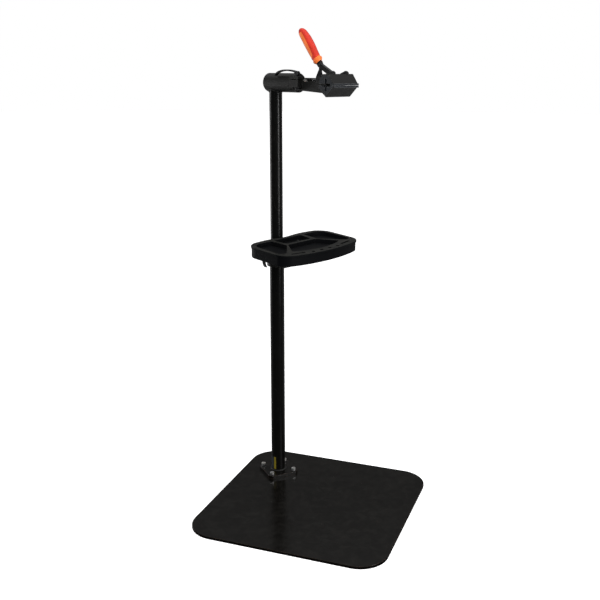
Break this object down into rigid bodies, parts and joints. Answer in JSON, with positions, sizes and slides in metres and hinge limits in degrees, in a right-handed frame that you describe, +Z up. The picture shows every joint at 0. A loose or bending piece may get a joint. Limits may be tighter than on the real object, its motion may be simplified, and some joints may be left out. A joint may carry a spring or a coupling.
{
  "type": "bike repair stand",
  "caption": "Bicycle repair stand on a heavy square floor plate, with a telescoping post, a swivelling tool tray and a turning lever-operated clamp head.",
  "frame": {"origin": "post axis at floor level", "axes": "+Z up along the post; the clamp arm and the tray point along -Y at rest; the clamped tube lies along X"},
  "size_m": [0.8643, 0.8643, 1.6661],
  "materials": {
    "plate_paint": "satin black powder coat",
    "tube_paint": "satin black powder coat",
    "cast_paint": "matt black powder coat",
    "zinc": "zinc plated",
    "steel": "bare turned steel",
    "dark_steel": "black oxide",
    "tray_plastic": "fine textured moulded plastic",
    "black_plastic": "moulded plastic",
    "nylon": "natural nylon",
    "pad_rubber": "moulded rubber",
    "grip_red": "moulded grip",
    "grip_orange": "soft moulded grip"
  },
  "bodies": {
    "base": {"base_plate": "plate_paint", "post_flange": "plate_paint", "flange_bolts": "zinc", "flange_washers": "dark_steel", "foot_weld": "cast_paint", "lower_post": "tube_paint", "height_collar": "cast_paint", "height_skewer": "zinc", "height_skewer_nut": "dark_steel", "height_cam_washer": "black_plastic"},
    "height_lever": {"height_lever": "dark_steel"},
    "post_bush": {"post_bush": "black_plastic"},
    "mast": {"upper_post": "tube_paint", "mast_guide_bush": "nylon", "mast_end_plug": "black_plastic", "barrel": "cast_paint", "barrel_weld": "cast_paint", "barrel_cap": "black_plastic", "barrel_bushes": "steel", "spindle": "steel", "index_ring": "cast_paint", "friction_disc": "black_plastic", "spindle_washer": "zinc", "spindle_screw": "zinc"},
    "head": {"arm_socket": "cast_paint", "head_skewer": "dark_steel", "head_skewer_nut": "dark_steel", "head_cam_washer": "black_plastic", "arm_channel": "cast_paint", "jaw_pivot_pin": "dark_steel", "lower_jaw_shell": "cast_paint", "lower_jaw_pad": "pad_rubber"},
    "head_lever": {"head_lever": "dark_steel"},
    "upper_jaw": {"upper_jaw_shell": "cast_paint", "upper_jaw_pad": "pad_rubber", "jaw_ear_caps": "dark_steel", "lever_foot_pin": "dark_steel"},
    "adjuster": {"adjuster_block": "black_plastic", "adjuster_pin": "dark_steel", "fulcrum_lug": "dark_steel", "fulcrum_pin": "dark_steel"},
    "clamp_lever": {"clamp_lever": "dark_steel", "lever_grip": "grip_red", "grip_inlay": "grip_orange"},
    "tray": {"tray_ring": "cast_paint", "tray_plate": "cast_paint", "tray": "tray_plastic", "tray_screws": "dark_steel"},
    "tray_knob": {"tray_knob": "black_plastic", "tray_knob_stud": "steel"}
  },
  "joints": [
    {"name": "mast_swivel", "type": "hinge", "parent": "base", "child": "post_bush", "pos_m": [0, 0, 0.9], "axis": [0, 0, 1], "continuous": true},
    {"name": "height_slide", "type": "slide", "parent": "post_bush", "child": "mast", "axis": [0, 0, 1], "range_m": [-0.33, 0.1]},
    {"name": "head_turn", "type": "hinge", "parent": "mast", "child": "head", "pos_m": [0, 0, 1.487], "axis": [0, -1, 0], "continuous": true},
    {"name": "head_lever_cam", "type": "hinge", "parent": "head", "child": "head_lever", "pos_m": [-0.031, -0.14, 1.518], "axis": [1, 0, 0], "range_deg": [0, 110]},
    {"name": "height_lever_cam", "type": "hinge", "parent": "base", "child": "height_lever", "pos_m": [-0.023, 0.04, 0.884], "axis": [0, 1, 0], "range_deg": [0, 100]},
    {"name": "jaw_hinge", "type": "hinge", "parent": "head", "child": "upper_jaw", "pos_m": [0, -0.231, 1.497], "axis": [-1, 0, 0], "range_deg": [0, 30]},
    {"name": "adjuster_slide", "type": "slide", "parent": "head", "child": "adjuster", "axis": [0, 1, 0], "range_m": [0, 0.0212]},
    {"name": "clamp_lever_hinge", "type": "hinge", "parent": "adjuster", "child": "clamp_lever", "pos_m": [0, -0.22, 1.545], "axis": [-1, 0, 0], "range_deg": [0, 20.5]},
    {"name": "tray_swivel", "type": "hinge", "parent": "base", "child": "tray", "pos_m": [0, 0, 0.85], "axis": [0, 0, 1], "range_deg": [-95, 95]},
    {"name": "tray_knob_turn", "type": "hinge", "parent": "tray", "child": "tray_knob", "pos_m": [0.046, 0, 0.85], "axis": [1, 0, 0], "continuous": true}
  ],
  "couplings": [
    {"joint": "adjuster_slide", "follows": "jaw_hinge", "m_per_rad": 0.0399},
    {"joint": "clamp_lever_hinge", "follows": "jaw_hinge", "ratio": 0.67}
  ]
}
